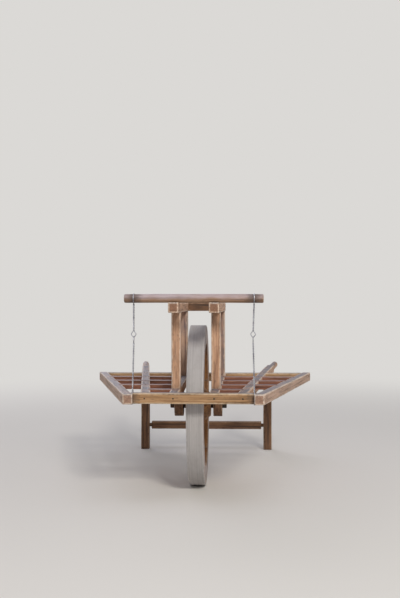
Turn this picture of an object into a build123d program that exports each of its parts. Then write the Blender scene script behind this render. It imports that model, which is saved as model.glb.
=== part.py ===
from build123d import *
import math
import os

# A table-top model of a single-wheel wooden hand barrow, in millimetres.
# X runs across it, to the right as seen from the front; Y runs from the front bar back to the handles;
# Z is up from the floor. The origin is on the floor, under the middle of the whole length.

# Wheel
WHEEL_DIAMETER = 108.0
WHEEL_WIDTH = 10.8
TREAD_BAND_THICKNESS = 1.2
FELLOE_DEPTH = 11.3
FELLOE_COUNT = 5
FELLOE_JOINT_GAP = 0.35
SPOKES_PER_FELLOE = 2
SPOKE_THICKNESS = 5.0
SPOKE_WIDTH = 6.0
SPOKE_TENON_SIDE = 3.0
SPOKE_TENON_LENGTH = 4.5
HUB_DIAMETER = 22.0
HUB_LENGTH = 17.0
HUB_WAIST_LENGTH = 9.0
HUB_END_DIAMETER = 16.0

# Axle, which stays still in its hangers while the hub turns on it
AXLE_DIAMETER = 5.0
AXLE_OVERHANG = 3.0
AXLE_DROP = 7.75
HANGER_THICKNESS = 6.0
HANGER_LENGTH = 15.5
HANGER_TENON_LENGTH = 8.0

# Sections of the timber
BAR_WIDTH = 6.0
BAR_HEIGHT = 6.5
UPPER_RAIL_SIDE = 6.4
POST_SIDE = 6.0
LEG_SIDE = 6.8
TENON_SIDE = 3.0
TENON_DEPTH = 3.0

# Deck: the front bar stands ahead of the wheel, the rear bar behind it
FRONT_BAR_GAP = 6.5
FRONT_BAR_DEPTH = 6.5
REAR_BAR_GAP = 34.0
REAR_BAR_DEPTH = 6.5
INNER_RAIL_FRONT_X = 12.5
INNER_RAIL_REAR_X = 14.3
OUTER_RAIL_FRONT_X = 40.0
OUTER_RAIL_SPLAY = 13.5
OUTER_RAIL_OVERHANG = 4.0

# Slats of the deck, from the inner rail outwards
SLAT_COUNT = 4
SHORT_SLATS = 1
SLAT_SETBACK = 19.5
SLAT_PITCH = 32.0
SLAT_WIDTH = 7.5
SLAT_THICKNESS = 3.0
SLAT_SEAT = 1.4

# Shafts with turned grips, and the legs under them
SHAFT_FRONT_X = 30.0
HANDLE_REACH = 235.0
GRIP_DIAMETER = 5.6
GRIP_LENGTH = 48.0
GRIP_SHOULDER = 7.0
GRIP_END_ROUND = 1.2
LEG_X = 51.5
LEG_REACH = 142.2
STRETCHER_HEIGHT = 6.3
STRETCHER_DEPTH = 5.0
STRETCHER_UNDERSIDE = 17.1
STRETCHER_SHOULDER_GAP = 1.9
STRETCHER_TENON_DIAMETER = 3.0
STRETCHER_TENON_SEAT = 4.0

# Guard over the wheel
GUARD_POST_HEIGHT = 49.0
FRONT_POST_SETBACK = 26.5
REAR_POST_GAP = 10.0
UPPER_RAIL_TAIL = 6.0
POLE_DIAMETER = 5.4
POLE_LENGTH = 85.4
POLE_SADDLE = 0.3

# Wire stays between the pole and the front bar
STAY_WIRE = 0.8
STAY_INSET = 1.8
STAY_EYE_WIDTH = 2.6
STAY_EYE_HEIGHT = 3.8
STAY_EYE_DROP = 21.9
STAY_LOOP_CORNER = 0.5

# Clearances
FIT = 0.05
RUNNING_FIT = 0.08

WHEEL_RADIUS = WHEEL_DIAMETER / 2
FELLOE_OUTER_R = WHEEL_RADIUS - TREAD_BAND_THICKNESS - FIT
FELLOE_INNER_R = FELLOE_OUTER_R - FELLOE_DEPTH
HUB_RADIUS = HUB_DIAMETER / 2
AXLE_Z = WHEEL_RADIUS

DECK_LOW = AXLE_Z + AXLE_DROP
DECK_TOP = DECK_LOW + BAR_HEIGHT
DECK_MIDDLE = DECK_LOW + BAR_HEIGHT / 2
UPPER_RAIL_LOW = DECK_TOP + GUARD_POST_HEIGHT
UPPER_RAIL_TOP = UPPER_RAIL_LOW + UPPER_RAIL_SIDE

# Places along the barrow, measured back from the axle
FRONT_BAR_BACK = -(WHEEL_RADIUS + FRONT_BAR_GAP)
FRONT_BAR_FACE = FRONT_BAR_BACK - FRONT_BAR_DEPTH
FRONT_BAR_MIDDLE = FRONT_BAR_BACK - FRONT_BAR_DEPTH / 2
REAR_BAR_FACE = WHEEL_RADIUS + REAR_BAR_GAP
REAR_BAR_BACK = REAR_BAR_FACE + REAR_BAR_DEPTH
OUTER_RAIL_FRONT = FRONT_BAR_FACE - OUTER_RAIL_OVERHANG
OUTER_RAIL_BACK = REAR_BAR_BACK + OUTER_RAIL_OVERHANG
FRONT_POST_Y = FRONT_BAR_BACK + FRONT_POST_SETBACK
REAR_POST_Y = WHEEL_RADIUS + REAR_POST_GAP
UPPER_RAIL_BACK = REAR_POST_Y + POST_SIDE / 2 + UPPER_RAIL_TAIL
AXLE_PLACE = (-OUTER_RAIL_FRONT - HANDLE_REACH) / 2

# Sideways run of the long timber for each millimetre back
INNER_RAIL_SPREAD = (INNER_RAIL_REAR_X - INNER_RAIL_FRONT_X) / (REAR_BAR_FACE - FRONT_BAR_BACK)
OUTER_RAIL_SPREAD = math.tan(math.radians(OUTER_RAIL_SPLAY))
SHAFT_SPREAD = (LEG_X - SHAFT_FRONT_X) / (LEG_REACH - FRONT_BAR_BACK)


def inner_rail_x(y):
    """Distance of an inner rail's centre line from the middle of the barrow."""
    return INNER_RAIL_FRONT_X + (y - FRONT_BAR_BACK) * INNER_RAIL_SPREAD


def upper_rail_face(y):
    """Distance of an upper rail's inner face from the middle of the barrow."""
    return inner_rail_x(y) - UPPER_RAIL_SIDE / 2 * math.hypot(1, INNER_RAIL_SPREAD)


def outer_rail_x(y):
    """Distance of an outer rail's centre line from the middle of the barrow."""
    return OUTER_RAIL_FRONT_X + (y - OUTER_RAIL_FRONT) * OUTER_RAIL_SPREAD


def outer_rail_face(y):
    """Distance of an outer rail's inner face from the middle of the barrow."""
    return outer_rail_x(y) - BAR_WIDTH / 2 * math.hypot(1, OUTER_RAIL_SPREAD)


def shaft_x(y):
    """Distance of a shaft's centre line from the middle of the barrow."""
    return SHAFT_FRONT_X + (y - FRONT_BAR_BACK) * SHAFT_SPREAD


def block(x, y, z):
    """Box between a low and a high value on each axis."""
    low = Vector(x[0], y[0], z[0])
    high = Vector(x[1], y[1], z[1])
    size = high - low
    return Pos((low + high) / 2) * Box(size.X, size.Y, size.Z)


def around(middle, side):
    """Low and high value of something of that size about its middle."""
    return middle - side / 2, middle + side / 2


def plan_solid(points, low, high):
    """Upright solid over an outline seen from above."""
    outline = make_face(Polyline(*points, close=True))
    return Pos(0, 0, low) * extrude(outline, high - low, dir=(0, 0, 1))


def long_bar(centre_x, front, back, width, low, high):
    """Bar along the barrow that follows a centre line, its ends cut across."""
    run = Vector(centre_x(back) - centre_x(front), back - front)
    half = width / 2 * run.length / run.Y
    corners = [
        (centre_x(front) - half, front),
        (centre_x(front) + half, front),
        (centre_x(back) + half, back),
        (centre_x(back) - half, back),
    ]
    return plan_solid(corners, low, high)


def cross_bar(rail_face, front, back, low, high):
    """Bar across the barrow, cut at its ends to lie against the rail on each side."""
    corners = [
        (-rail_face(front), front),
        (rail_face(front), front),
        (rail_face(back), back),
        (-rail_face(back), back),
    ]
    return plan_solid(corners, low, high)


def rod_across(diameter, low_x, high_x, y, z):
    """Round rod along X."""
    middle = Pos((low_x + high_x) / 2, y, z)
    return middle * Rot(Y=90) * Cylinder(diameter / 2, high_x - low_x)


def ring_across(outer_r, inner_r, width):
    """Ring about the axle line, centred on the origin."""
    return Rot(Y=90) * (Cylinder(outer_r, width) - Cylinder(inner_r, width))


def mirrored(solid):
    """The same piece on the other side of the barrow."""
    return mirror(solid, about=Plane.YZ)


def slat(index):
    """One deck slat on the right, housed in the rails and let into the shaft's top."""
    y = FRONT_BAR_BACK + SLAT_SETBACK + index * SLAT_PITCH
    inner_end = inner_rail_x(y) + BAR_WIDTH / 2 - SLAT_SEAT
    outer_end = outer_rail_face(y) + SLAT_SEAT
    if index < SHORT_SLATS:
        outer_end = shaft_x(y) - BAR_WIDTH / 2 + SLAT_SEAT
    return block((inner_end, outer_end), around(y, SLAT_WIDTH), (DECK_TOP - SLAT_THICKNESS, DECK_TOP))


def post(y):
    """One guard post on the right, with a square tenon at each end."""
    x = inner_rail_x(y)
    stem = block(around(x, POST_SIDE), around(y, POST_SIDE), (DECK_TOP, UPPER_RAIL_LOW))
    tenon_ends = (DECK_TOP - TENON_DEPTH, UPPER_RAIL_LOW + TENON_DEPTH)
    return stem + block(around(x, TENON_SIDE), around(y, TENON_SIDE), tenon_ends)


def leg():
    """The right leg, tenoned up into its shaft."""
    stem = block(around(LEG_X, LEG_SIDE), around(LEG_REACH, LEG_SIDE), (0, DECK_LOW))
    tenon_ends = (0, DECK_LOW + TENON_DEPTH)
    return stem + block(around(LEG_X, TENON_SIDE), around(LEG_REACH, TENON_SIDE), tenon_ends)


def stretcher(tenon_diameter):
    """Bar between the legs, with a round tenon at each end."""
    shoulder = LEG_X - LEG_SIDE / 2 - STRETCHER_SHOULDER_GAP
    tenon_end = LEG_X - LEG_SIDE / 2 + STRETCHER_TENON_SEAT
    low = STRETCHER_UNDERSIDE
    high = STRETCHER_UNDERSIDE + STRETCHER_HEIGHT
    bar = block((-shoulder, shoulder), around(LEG_REACH, STRETCHER_DEPTH), (low, high))
    return bar + rod_across(tenon_diameter, -tenon_end, tenon_end, LEG_REACH, (low + high) / 2)


def hanger():
    """The right axle hanger: a round-ended block with a tenon up into the inner rail."""
    x = around(inner_rail_x(0), HANGER_THICKNESS)
    cheek = block(x, around(0, HANGER_LENGTH), (AXLE_Z, DECK_LOW))
    nose = rod_across(HANGER_LENGTH, x[0], x[1], 0, AXLE_Z)
    tenon_x = around(inner_rail_x(0), TENON_SIDE)
    tenon = block(tenon_x, around(0, HANGER_TENON_LENGTH), (AXLE_Z + AXLE_DIAMETER, DECK_LOW + TENON_DEPTH))
    bore = rod_across(AXLE_DIAMETER + 2 * FIT, x[0], x[1], 0, AXLE_Z)
    return cheek + nose + tenon - bore


def shaft():
    """The right shaft before its housings are cut: square, with a turned grip at its end."""
    end = Vector(shaft_x(HANDLE_REACH), HANDLE_REACH, DECK_MIDDLE)
    front = Vector(shaft_x(FRONT_BAR_BACK), FRONT_BAR_BACK, DECK_MIDDLE)
    grip_r = GRIP_DIAMETER / 2
    clear_r = math.hypot(BAR_WIDTH, BAR_HEIGHT)
    beyond = (end - front).length + BAR_WIDTH
    profile = Polyline(
        (0, 0),
        (grip_r - GRIP_END_ROUND, 0),
        (grip_r, GRIP_END_ROUND),
        (grip_r, GRIP_LENGTH),
        (clear_r, GRIP_LENGTH + GRIP_SHOULDER * (clear_r - grip_r) / (BAR_HEIGHT / 2)),
        (clear_r, beyond),
        (0, beyond),
        close=True,
    )
    turned = revolve(Plane.XZ * make_face(profile), Axis.Z)
    lathe_axis = Plane(origin=end, x_dir=(0, 0, 1), z_dir=front - end)
    square = long_bar(shaft_x, FRONT_BAR_BACK, HANDLE_REACH + BAR_WIDTH, BAR_WIDTH, DECK_LOW, DECK_TOP)
    return square & (lathe_axis * turned)


def stay_rod(x, low, high):
    """Straight stretch of stay wire."""
    return Pos(x, FRONT_BAR_MIDDLE, (low + high) / 2) * Cylinder(STAY_WIRE / 2, high - low)


def wire_loop(plane, width, height, corner):
    """Closed loop of stay wire, centred on the plane's origin."""
    left, right = around(0, width)
    low, high = around(0, height)
    corners = [(left, low), (right, low), (right, high), (left, high)]
    path = plane * FilletPolyline(*corners, radius=corner, close=True)
    section = Plane(origin=path @ 0, z_dir=path % 0) * Circle(STAY_WIRE / 2)
    return sweep(section, path=path)


def felloe_ring():
    """The wheel's wooden rim, sawn through between each pair of felloes."""
    ring = ring_across(FELLOE_OUTER_R, FELLOE_INNER_R, WHEEL_WIDTH)
    saw_reach = (HUB_RADIUS, WHEEL_DIAMETER)
    saw_cut = block(around(0, 2 * WHEEL_WIDTH), around(0, FELLOE_JOINT_GAP), saw_reach)
    for index in range(FELLOE_COUNT):
        ring -= Rot(X=index * 360 / FELLOE_COUNT) * saw_cut
    return ring


def spoke():
    """One spoke, pointing up from the axle line, with a square tenon at each end."""
    shoulder = math.sqrt(FELLOE_INNER_R**2 - (SPOKE_WIDTH / 2) ** 2)
    stem = block(around(0, SPOKE_THICKNESS), around(0, SPOKE_WIDTH), (HUB_RADIUS, shoulder))
    tenon_ends = (HUB_RADIUS - SPOKE_TENON_LENGTH, FELLOE_INNER_R + SPOKE_TENON_LENGTH)
    return stem + block(around(0, SPOKE_TENON_SIDE), around(0, SPOKE_TENON_SIDE), tenon_ends)


def hub_body():
    """Turned hub, straight round the spokes and tapered to its ends, bored for the axle."""
    half = HUB_LENGTH / 2
    waist = HUB_WAIST_LENGTH / 2
    bore_r = AXLE_DIAMETER / 2 + RUNNING_FIT
    profile = Polyline(
        (bore_r, -half),
        (HUB_END_DIAMETER / 2, -half),
        (HUB_RADIUS, -waist),
        (HUB_RADIUS, waist),
        (HUB_END_DIAMETER / 2, half),
        (bore_r, half),
        close=True,
    )
    return Rot(Y=90) * revolve(Plane.XZ * make_face(profile), Axis.Z)


# Deck timber on the right side, then what is cut out of each piece by its neighbours
slats = [slat(index) for index in range(SLAT_COUNT)]
front_post = post(FRONT_POST_Y)
rear_post = post(REAR_POST_Y)
right_leg = leg()
right_hanger = hanger()
front_bar = cross_bar(outer_rail_face, FRONT_BAR_FACE, FRONT_BAR_BACK, DECK_LOW, DECK_TOP)

# The rear bar and the shafts are halved over each other
rear_bar_top = cross_bar(outer_rail_face, REAR_BAR_FACE, REAR_BAR_BACK, DECK_MIDDLE, DECK_TOP)
rear_bar_foot = cross_bar(outer_rail_face, REAR_BAR_FACE, REAR_BAR_BACK, DECK_LOW, DECK_MIDDLE)
whole_shaft = shaft()
rear_bar = rear_bar_top + (rear_bar_foot - whole_shaft - mirrored(whole_shaft))
right_shaft = whole_shaft - rear_bar_top - right_leg

inner_rail = long_bar(inner_rail_x, FRONT_BAR_BACK, REAR_BAR_FACE, BAR_WIDTH, DECK_LOW, DECK_TOP)
inner_rail = inner_rail - front_post - rear_post - right_hanger
outer_rail = long_bar(outer_rail_x, OUTER_RAIL_FRONT, OUTER_RAIL_BACK, BAR_WIDTH, DECK_LOW, DECK_TOP)
for piece in slats:
    inner_rail -= piece
    right_shaft -= piece
    outer_rail -= piece

# Legs, bored for the stretcher
right_leg -= stretcher(STRETCHER_TENON_DIAMETER + 2 * FIT)

# Guard: the pole lies in a shallow saddle in both upper rails
pole_z = UPPER_RAIL_TOP - POLE_SADDLE + POLE_DIAMETER / 2
pole_ends = around(0, POLE_LENGTH)
pole = rod_across(POLE_DIAMETER, pole_ends[0], pole_ends[1], FRONT_BAR_MIDDLE, pole_z)
saddle = rod_across(POLE_DIAMETER + 2 * FIT, pole_ends[0], pole_ends[1], FRONT_BAR_MIDDLE, pole_z)
upper_rail = long_bar(
    inner_rail_x, FRONT_BAR_FACE, UPPER_RAIL_BACK, UPPER_RAIL_SIDE, UPPER_RAIL_LOW, UPPER_RAIL_TOP
)
upper_rail = upper_rail - front_post - rear_post - saddle
tie_front, tie_back = around(REAR_POST_Y, POST_SIDE)
tie_bar = cross_bar(upper_rail_face, tie_front, tie_back, UPPER_RAIL_LOW, UPPER_RAIL_TOP)

# Stays: the upper wire hangs from the pole, the lower one is hooked through its eye
stay_x = outer_rail_face(FRONT_BAR_MIDDLE) - STAY_INSET
ring_r = POLE_DIAMETER / 2 + FIT + STAY_WIRE / 2
eye_middle = pole_z - STAY_EYE_DROP
eye_low = eye_middle - STAY_EYE_HEIGHT / 2
hook_top = eye_low + STAY_WIRE + 2 * FIT
hook_middle = hook_top - STAY_EYE_HEIGHT / 2
hook_low = hook_top - STAY_EYE_HEIGHT
grip_width = FRONT_BAR_DEPTH + 2 * FIT + STAY_WIRE
grip_height = BAR_HEIGHT + 2 * FIT + STAY_WIRE
eye_round = STAY_EYE_WIDTH / 2 - FIT

stay_upper = Pos(stay_x, FRONT_BAR_MIDDLE, pole_z) * Rot(Y=90) * Torus(ring_r, STAY_WIRE / 2)
stay_upper += stay_rod(stay_x, eye_middle + STAY_EYE_HEIGHT / 2, pole_z - ring_r)
eye_plane = Plane(origin=(stay_x, FRONT_BAR_MIDDLE, eye_middle), x_dir=(1, 0, 0), z_dir=(0, -1, 0))
stay_upper += wire_loop(eye_plane, STAY_EYE_WIDTH, STAY_EYE_HEIGHT, eye_round)

hook_plane = Plane(origin=(stay_x, FRONT_BAR_MIDDLE, hook_middle), x_dir=(0, 1, 0), z_dir=(1, 0, 0))
stay_lower = wire_loop(hook_plane, STAY_EYE_WIDTH, STAY_EYE_HEIGHT, eye_round)
stay_lower += stay_rod(stay_x, DECK_MIDDLE + grip_height / 2, hook_low)
grip_plane = Plane(origin=(stay_x, FRONT_BAR_MIDDLE, DECK_MIDDLE), x_dir=(0, 1, 0), z_dir=(1, 0, 0))
stay_lower += wire_loop(grip_plane, grip_width, grip_height, STAY_LOOP_CORNER)

# Wheel, built about the origin and lifted to the axle
one_spoke = spoke()
spoke_count = FELLOE_COUNT * SPOKES_PER_FELLOE
spokes = [Rot(X=(index + 0.5) * 360 / spoke_count) * one_spoke for index in range(spoke_count)]
felloes = felloe_ring()
hub = hub_body()
for piece in spokes:
    felloes -= piece
    hub -= piece
tread_band = ring_across(WHEEL_RADIUS, WHEEL_RADIUS - TREAD_BAND_THICKNESS, WHEEL_WIDTH)
to_axle = Pos(0, 0, AXLE_Z)
axle_end = inner_rail_x(0) + HANGER_THICKNESS / 2 + AXLE_OVERHANG

nodes = {
    "front_cross_bar": front_bar,
    "rear_cross_bar": rear_bar,
    "upper_tie_bar": tie_bar,
    "top_pole": pole,
    "leg_stretcher": stretcher(STRETCHER_TENON_DIAMETER),
    "axle": rod_across(AXLE_DIAMETER, -axle_end, axle_end, 0, AXLE_Z),
    "hub": to_axle * hub,
    "spokes": to_axle * Compound(children=spokes),
    "felloes": to_axle * felloes,
    "tread_band": to_axle * tread_band,
}
paired = {
    "inner_rail": inner_rail,
    "outer_rail": outer_rail,
    "shaft": right_shaft,
    "leg": right_leg,
    "axle_hanger": right_hanger,
    "front_post": front_post,
    "rear_post": rear_post,
    "upper_rail": upper_rail,
    "stay_upper": stay_upper,
    "stay_lower": stay_lower,
}
for number, piece in enumerate(slats, start=1):
    paired[f"slat_{number}"] = piece
for name, piece in paired.items():
    nodes[f"{name}_right"] = piece
    nodes[f"{name}_left"] = mirrored(piece)

os.makedirs("parts", exist_ok=True)
for name, piece in nodes.items():
    export_step(Pos(0, AXLE_PLACE, 0) * piece, f"parts/{name}.step")
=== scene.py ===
import math

import bpy
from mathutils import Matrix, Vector, noise


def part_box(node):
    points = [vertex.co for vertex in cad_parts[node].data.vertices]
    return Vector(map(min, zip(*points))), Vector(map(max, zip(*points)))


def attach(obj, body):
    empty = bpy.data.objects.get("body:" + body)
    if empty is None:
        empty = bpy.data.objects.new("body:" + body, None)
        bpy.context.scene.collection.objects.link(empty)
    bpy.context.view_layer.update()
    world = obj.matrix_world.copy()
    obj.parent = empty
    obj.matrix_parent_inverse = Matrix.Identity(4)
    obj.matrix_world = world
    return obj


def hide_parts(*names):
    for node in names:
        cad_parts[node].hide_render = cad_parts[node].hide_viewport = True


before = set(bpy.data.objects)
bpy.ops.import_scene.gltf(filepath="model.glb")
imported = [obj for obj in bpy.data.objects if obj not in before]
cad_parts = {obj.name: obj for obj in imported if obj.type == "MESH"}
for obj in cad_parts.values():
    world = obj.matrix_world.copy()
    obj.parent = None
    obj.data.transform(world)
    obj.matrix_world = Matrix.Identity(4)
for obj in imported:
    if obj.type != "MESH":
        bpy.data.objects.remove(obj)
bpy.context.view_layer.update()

scene = bpy.context.scene
scene.view_settings.view_transform = "Standard"

# Camera: it stands well in front of the barrow, at the height of the top pole and right of the middle.
# It looks nearly level and slightly to the left, so the wheel is seen along its tread.
MM = 0.001
PICTURE_HEIGHT_PX = 598
FOCAL_PX = 878
SENSOR_MM = 36.0
NEAREST_SEEN = 0.01
CAMERA_PLACE = Vector((27.9, -682.0, 123.25)) * MM
TURN_LEFT_DEG = 2.57
LOOK_UP_DEG = 0.261


def put_in_scene(name, data):
    """New object in the scene for a camera, a lamp or a mesh."""
    thing = bpy.data.objects.new(name, data)
    scene.collection.objects.link(thing)
    return thing


camera_data = bpy.data.cameras.new("camera")
camera_data.sensor_fit = "VERTICAL"
camera_data.sensor_height = SENSOR_MM
camera_data.lens = FOCAL_PX / PICTURE_HEIGHT_PX * SENSOR_MM
camera_data.clip_start = NEAREST_SEEN
camera = put_in_scene("camera", camera_data)
camera.location = CAMERA_PLACE
camera.rotation_euler = (math.radians(90 + LOOK_UP_DEG), 0, math.radians(TURN_LEFT_DEG))
scene.camera = camera

# Studio floor: a wide flat sheet of pale paper under the barrow.
# Matt, so it takes a soft shadow and sends a little light back up under the deck.
FLOOR_REACH = 4.0
FADE_START = 0.22
FADE_END = 0.85
PAPER_COLOUR = "#dfdcd7"
BACKDROP_COLOUR = "#dbd9d6"


def linear(hex_colour):
    """sRGB hex colour as the linear values that shaders take."""
    channels = [int(hex_colour[place:place + 2], 16) / 255 for place in (1, 3, 5)]
    return [c / 12.92 if c <= 0.04045 else ((c + 0.055) / 1.055) ** 2.4 for c in channels] + [1.0]


def empty_tree(owner):
    """Node tree of a new material or world, with nothing in it yet."""
    owner.use_nodes = True
    owner.node_tree.nodes.clear()
    return owner.node_tree


def add_node(tree, kind, inputs=None, **settings):
    """Adds a node with its settings, sets or links its inputs by name or number, and gives its outputs."""
    node = tree.nodes.new(kind)
    for key, value in settings.items():
        setattr(node, key, value)
    for key, value in (inputs or {}).items():
        if isinstance(value, bpy.types.NodeSocket):
            tree.links.new(value, node.inputs[key])
        else:
            node.inputs[key].default_value = value
    return node.outputs


def seen_directly(tree):
    """1 for rays from the camera, from a mirror or through glass, 0 for the light that falls on things."""
    rays = add_node(tree, "ShaderNodeLightPath")
    seen = rays["Is Camera Ray"]
    for kind in ("Is Glossy Ray", "Is Transmission Ray"):
        seen = add_node(tree, "ShaderNodeMath", {0: seen, 1: rays[kind]}, operation="MAXIMUM")[0]
    return seen


floor_mesh = bpy.data.meshes.new("paper_floor")
floor_corners = [(x * FLOOR_REACH, y * FLOOR_REACH, 0.0) for x, y in ((-1, -1), (1, -1), (1, 1), (-1, 1))]
floor_mesh.from_pydata(floor_corners, [], [(0, 1, 2, 3)])
floor = put_in_scene("paper_floor", floor_mesh)

# paper: matt near the barrow; far off, camera and mirror rays meet the plain colour of the backdrop
paper = bpy.data.materials.new("matt_paper")
tree = empty_tree(paper)
matt = add_node(tree, "ShaderNodeBsdfPrincipled", {"Base Color": linear(PAPER_COLOUR), "Roughness": 0.95})
plain = add_node(tree, "ShaderNodeEmission", {"Color": linear(BACKDROP_COLOUR), "Strength": 1.0})
where = add_node(tree, "ShaderNodeTexCoord")["Object"]
reach = add_node(tree, "ShaderNodeVectorMath", {0: where}, operation="LENGTH")["Value"]
fade = {"Value": reach, "From Min": FADE_START, "From Max": FADE_END}
far = add_node(tree, "ShaderNodeMapRange", fade, interpolation_type="SMOOTHSTEP")[0]
share = add_node(tree, "ShaderNodeMath", {0: far, 1: seen_directly(tree)}, operation="MULTIPLY")[0]
blend = add_node(tree, "ShaderNodeMixShader", {0: share, 1: matt[0], 2: plain[0]})
add_node(tree, "ShaderNodeOutputMaterial", {"Surface": blend[0]})
floor_mesh.materials.append(paper)

# Studio light: a soft box in front, high and to the right, cooler ones overhead and behind, and an even room.
# Together they light a surface that faces them to about the colour it is written in.
ROOM_LEVEL = 0.29
LAMPS = (
    # name, place, aim, size, watts, colour
    ("front_soft_box", (0.42, -1.20, 0.77), (0.0, -0.08, 0.07), 0.26, 11.4, "#fffaf2"),
    ("overhead_soft_box", (0.15, -0.25, 1.25), (0.0, -0.05, 0.07), 0.85, 2.8, "#e2e8ff"),
    ("back_soft_box", (-0.50, 1.20, 0.55), (0.0, 0.0, 0.07), 0.80, 5.0, "#f6f3ff"),
)
for name, place, aim, size, watts, colour in LAMPS:
    lamp_data = bpy.data.lights.new(name, "AREA")
    lamp_data.shape = "SQUARE"
    lamp_data.size = size
    lamp_data.energy = watts
    lamp_data.color = linear(colour)[:3]
    lamp = put_in_scene(name, lamp_data)
    lamp.location = place
    lamp.rotation_euler = (Vector(aim) - Vector(place)).to_track_quat("-Z", "Y").to_euler()

room = bpy.data.worlds.new("even_room")
tree = empty_tree(room)
even = add_node(tree, "ShaderNodeBackground", {"Color": linear("#ffffff"), "Strength": ROOM_LEVEL})
backdrop = add_node(tree, "ShaderNodeBackground", {"Color": linear(BACKDROP_COLOUR), "Strength": 1.0})
blend = add_node(tree, "ShaderNodeMixShader", {0: seen_directly(tree), 1: even[0], 2: backdrop[0]})
add_node(tree, "ShaderNodeOutputWorld", {"Surface": blend[0]})
scene.world = room

# Deck timber: two cross bars, the rails beside the wheel, splayed outer rails, and shafts with turned grips.
# Hand-sawn pine sticks with arrises rubbed pale, tan on their faces, and grey where they look up, partly dust
# and partly a painted bluish sky reflection and painted shade.
# Rails and shafts are nailed to the back of the front bar; the rear bar is halved over the shafts.
SIDES = ("left", "right")
UP = (0.0, 0.0, 1.0)
BAR_WIDTH = 6.0
BAR_HEIGHT = 6.5
GRIP_DIAMETER = 5.6
GRIP_LENGTH = 48.0
GRIP_SHOULDER = 7.0
LAP_STEP = 0.12
# arrises: radius, how much rubbing changes it and over what run, and the most that it takes of a half width
ARRIS = 0.45
ARRIS_WANDER = 0.6
ARRIS_WANDER_RUN = 6.0
WIDEST_ARRIS = 0.8
# a round stick has none, so its surface counts as this far from one
ROUND_ARRIS = 9.0
# a point on the end grain has this in place of its distance to the end
END_GRAIN = -1.0
END_SHAPE = (
    # share of the end's rounding along the stick, and inwards
    (0.0, 1.0),
    (0.3, 0.3),
    (1.0, 0.0),
)
ARC_POINTS = 3
STATION_STEP = 2.0
# hand-worked surfaces: slow waves, and the marks of the tool
WAVE_RUN = 24.0
WAVE_DEPTH = 0.12
TOOL_MARK_RUN = 4.0
TOOL_MARK_DEPTH = 0.035
WANDER_SEED = 7
# what each point of a stick keeps for its material
STORED = ("grain", "wear", "lot", "soil")
# each stick is a lot of its own, with another stretch of every pattern
LOT_STEP = 0.618034
LOT_SHIFT = Vector((91.0, 57.0, 73.0))
LOT_SPREAD = 50.0
CORNER_SHIFT = 7.3
# where hands, wire and damp have darkened the wood
SOIL_SPOTS = (
    # node, in from its end, ahead of its middle, reach, share
    ("top_pole", 6.0, 0.0, 8.0, 1.0),
    ("front_cross_bar", 1.4, 2.2, 8.0, 0.8),
    ("front_cross_bar", -1.1, 4.2, 6.0, 0.35),
)


def box_mm(node):
    """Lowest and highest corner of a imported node, in millimetres."""
    low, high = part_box(node)
    return low / MM, high / MM


noise.seed_set(WANDER_SEED)
soil_places = []
for node, inset, ahead, reach, amount in SOIL_SPOTS:
    low, high = box_mm(node)
    middle = (low + high) / 2
    soil_places.append((Vector((high.x - inset, middle.y - ahead, middle.z)), reach, amount))


def soil(point):
    """How dark the wood has become at a point, from 0 to 1; both sides are alike."""
    share = 0.0
    for place, reach, amount in soil_places:
        distance = (Vector((abs(point.x), point.y, point.z)) - place).length
        share = max(share, amount * max(0.0, 1 - distance / reach))
    return share


def unevenness(point, lot):
    """Hand-worked wander of a surface, in millimetres."""
    shift = LOT_SHIFT * lot
    waves = noise.noise_vector(point / WAVE_RUN + shift) * WAVE_DEPTH
    tool_marks = noise.noise_vector(point / TOOL_MARK_RUN - shift) * TOOL_MARK_DEPTH
    return waves + tool_marks


def worn_arrises(along, lot, half_width, half_height):
    """Radii of a stick's four arrises at a place along it, which rubbing has made uneven."""
    radii = []
    for corner in range(4):
        wander = noise.noise(Vector((along / ARRIS_WANDER_RUN, corner * CORNER_SHIFT, lot * LOT_SPREAD)))
        radius = ARRIS * (1 + ARRIS_WANDER * wander)
        radii.append(min(radius, WIDEST_ARRIS * half_width, WIDEST_ARRIS * half_height))
    return radii


def cross_section(half_width, half_height, radii, roundness, flat_points):
    """Points round a stick as (side, up, facing angle, distance to the nearest arris)."""
    arcs = []
    for corner, (side_sign, up_sign) in enumerate(((1, 1), (-1, 1), (-1, -1), (1, -1))):
        radius = radii[corner]
        arc = []
        for step in range(ARC_POINTS):
            angle = math.radians(90 * (corner + step / (ARC_POINTS - 1)))
            side = side_sign * (half_width - radius) + radius * math.cos(angle)
            up = up_sign * (half_height - radius) + radius * math.sin(angle)
            arc.append((side, up, angle, 0.0))
        arcs.append(arc)
    sawn = []
    for corner, arc in enumerate(arcs):
        sawn += arc
        begin, finish = Vector(arc[-1][:2]), Vector(arcs[(corner + 1) % 4][0][:2])
        flat = (finish - begin).length
        for step in range(1, flat_points + 1):
            share = step / (flat_points + 1)
            side, up = begin.lerp(finish, share)
            sawn.append((side, up, arc[-1][2], flat * min(share, 1 - share)))
    points = []
    for index, (side, up, angle, arris) in enumerate(sawn):
        turn = math.radians(45 + (index - 1) * 360 / len(sawn))
        side += (half_width * math.cos(turn) - side) * roundness
        up += (half_height * math.sin(turn) - up) * roundness
        facing = turn if roundness > 0.5 else angle
        points.append((side, up, facing, arris + ROUND_ARRIS * roundness))
    return points


def between(keys, along):
    """Half width, half height and roundness of a stick at a place along it."""
    for before, after in zip(keys, keys[1:]):
        if along <= after[0]:
            share = (along - before[0]) / (after[0] - before[0])
            return [a + (b - a) * share for a, b in zip(before[1:], after[1:])]
    return keys[-1][1:]


def one_section(laid, half_width, half_height, roundness=0.0):
    """Keys of a stick that is alike from end to end."""
    return ((0.0, half_width, half_height, roundness), (laid[1], half_width, half_height, roundness))


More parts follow.
